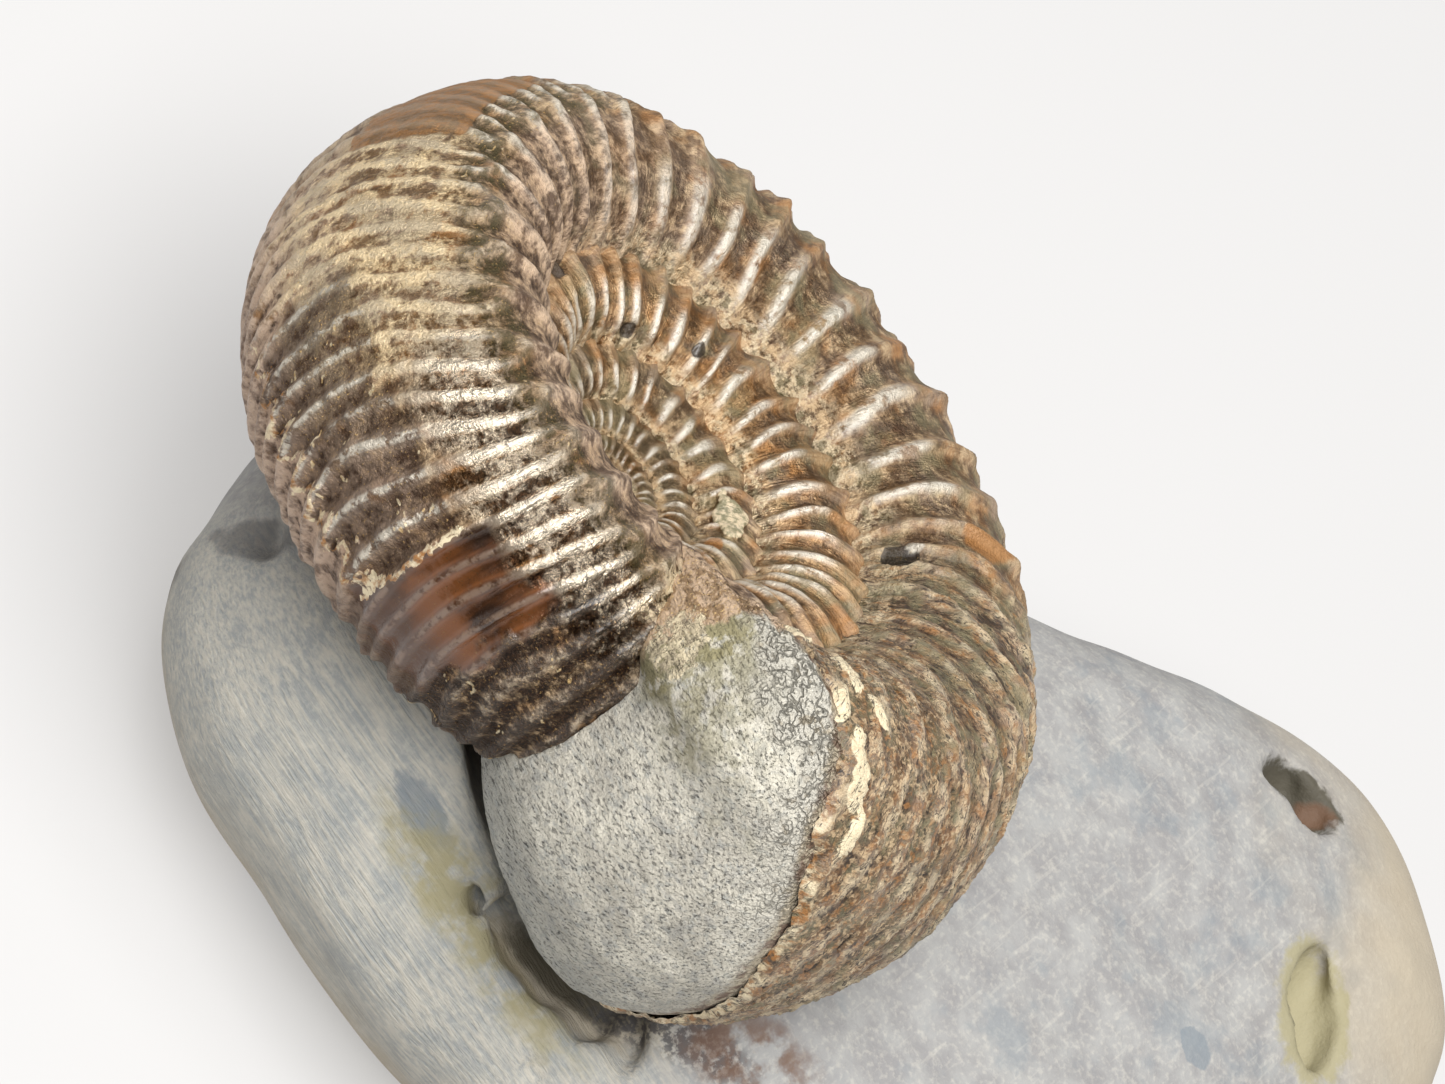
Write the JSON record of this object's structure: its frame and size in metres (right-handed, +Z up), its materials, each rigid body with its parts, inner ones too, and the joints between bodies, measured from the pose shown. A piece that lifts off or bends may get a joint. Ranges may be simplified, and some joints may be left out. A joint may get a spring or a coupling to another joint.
{
  "type": "fossil catacoeloceras ammonite",
  "caption": "Ribbed fossil ammonite standing proud of a smooth mudstone nodule, with its body chamber filled by the same stone.",
  "frame": {"origin": "middle of the bounding box, at the level of the nodule's flat underside", "axes": "+Z up off the flat underside, +X along the nodule from the coil towards its free end, -Y towards the side the shell is raised on"},
  "size_m": [0.086, 0.0678, 0.0449],
  "materials": {
    "ammonite_shell": "glossy brown mineral, bronze sheen on the rib crests",
    "chamber_fill": "dull, finely tooled grey mudstone",
    "nodule": "smooth dull blue-grey mudstone with a beige rind"
  },
  "bodies": {
    "root": {"ammonite_shell": "ammonite_shell", "chamber_fill": "chamber_fill", "nodule": "nodule"}
  },
  "joints": []
}
